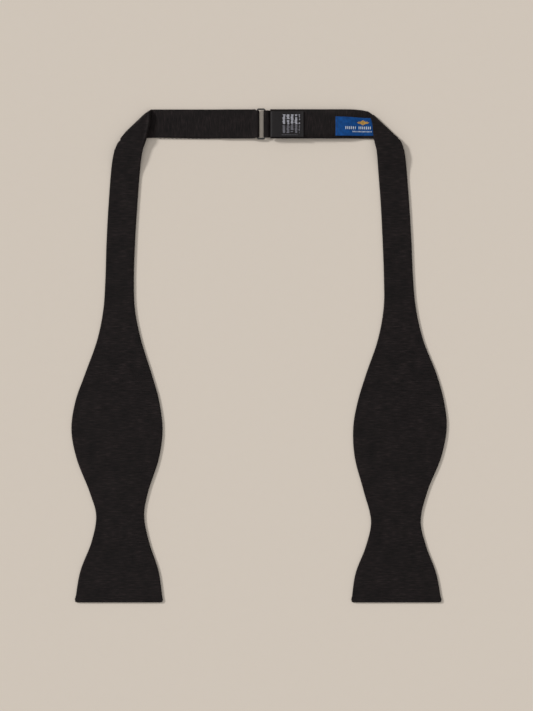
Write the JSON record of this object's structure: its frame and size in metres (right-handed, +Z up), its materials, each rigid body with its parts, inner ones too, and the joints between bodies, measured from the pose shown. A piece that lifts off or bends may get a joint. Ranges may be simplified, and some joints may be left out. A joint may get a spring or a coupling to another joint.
{
  "type": "bow tie",
  "caption": "Self-tie bow tie in ribbed silk, laid flat and untied, with two shaped blades folded down from a neckband and a ring and slide size adjuster.",
  "frame": {"origin": "middle of the footprint at the table, with the tie lying flat", "axes": "+X to the right as the tie lies, +Y from the blade ends towards the neckband, +Z up off the table"},
  "size_m": [0.2626, 0.3454, 0.0041],
  "materials": {
    "silk": "black ribbed silk",
    "interlining": "dark woven canvas",
    "thread": "black sewing thread",
    "black_metal": "black lacquered steel",
    "satin_label": "black satin label tape",
    "blue_label": "blue damask woven label",
    "label_thread": "pale blue sewing thread"
  },
  "bodies": {
    "right_neckband": {"right_neckband_front_panel": "silk", "right_neckband_interlining": "interlining", "right_neckband_back_panel": "silk", "right_neckband_end_seam": "silk", "right_slip_stitching": "thread", "right_fold_front_panel": "silk", "right_fold_interlining": "interlining", "right_fold_back_panel": "silk", "care_label": "satin_label", "woven_label": "blue_label", "woven_label_stitching": "label_thread", "adjusting_strap_sewn_end": "silk", "sewn_end_stitching": "thread"},
    "right_blade": {"right_blade_back_panel": "silk", "right_blade_interlining": "interlining", "right_blade_front_panel": "silk", "right_blade_edge_seam": "silk"},
    "slide": {"slide_buckle": "black_metal", "adjusting_strap_threaded_run": "silk", "adjusting_strap_end_loop": "silk", "slide_end_stitching": "thread", "adjusting_strap_front_run": "silk", "adjusting_strap_return_run": "silk"},
    "strap_loop": {"adjusting_strap_ring_loop": "silk"},
    "ring": {"adjuster_ring": "black_metal"},
    "left_neckband": {"left_neckband_front_panel": "silk", "left_neckband_interlining": "interlining", "left_neckband_back_panel": "silk", "left_ring_wrap_back_panel": "silk", "left_ring_wrap_front_panel": "silk", "left_tail_stitching": "thread", "left_slip_stitching": "thread", "left_fold_front_panel": "silk", "left_fold_interlining": "interlining", "left_fold_back_panel": "silk"},
    "left_blade": {"left_blade_back_panel": "silk", "left_blade_interlining": "interlining", "left_blade_front_panel": "silk", "left_blade_edge_seam": "silk"}
  },
  "joints": [
    {"name": "right_fold", "type": "hinge", "parent": "right_neckband", "child": "right_blade", "pos_m": [0.0743, 0.1721, 0.00175], "axis": [-0.7238, 0.69, 0], "range_deg": [0, 180], "deforming": ["right_fold_front_panel", "right_fold_interlining", "right_fold_back_panel"]},
    {"name": "neck_adjust", "type": "slide", "parent": "right_neckband", "child": "slide", "axis": [-1, 0, 0], "range_m": [0, 0.0762], "deforming": ["adjusting_strap_sewn_end"]},
    {"name": "strap_travel", "type": "slide", "parent": "slide", "child": "strap_loop", "axis": [1, 0, 0], "range_m": [0, 0.0381], "deforming": ["adjusting_strap_front_run", "adjusting_strap_return_run"]},
    {"name": "ring_swivel", "type": "hinge", "parent": "strap_loop", "child": "ring", "pos_m": [0.00405, 0.1619, 0.0015], "axis": [0, 1, 0], "range_deg": [-60, 60]},
    {"name": "band_swivel", "type": "hinge", "parent": "ring", "child": "left_neckband", "pos_m": [-0.00125, 0.1619, 0.0015], "axis": [0, 1, 0], "range_deg": [-60, 60]},
    {"name": "left_fold", "type": "hinge", "parent": "left_neckband", "child": "left_blade", "pos_m": [-0.0743, 0.1721, 0.00175], "axis": [-0.7238, -0.69, 0], "range_deg": [0, 180], "deforming": ["left_fold_front_panel", "left_fold_interlining", "left_fold_back_panel"]}
  ],
  "couplings": [
    {"joint": "strap_travel", "follows": "neck_adjust", "ratio": 0.5}
  ]
}
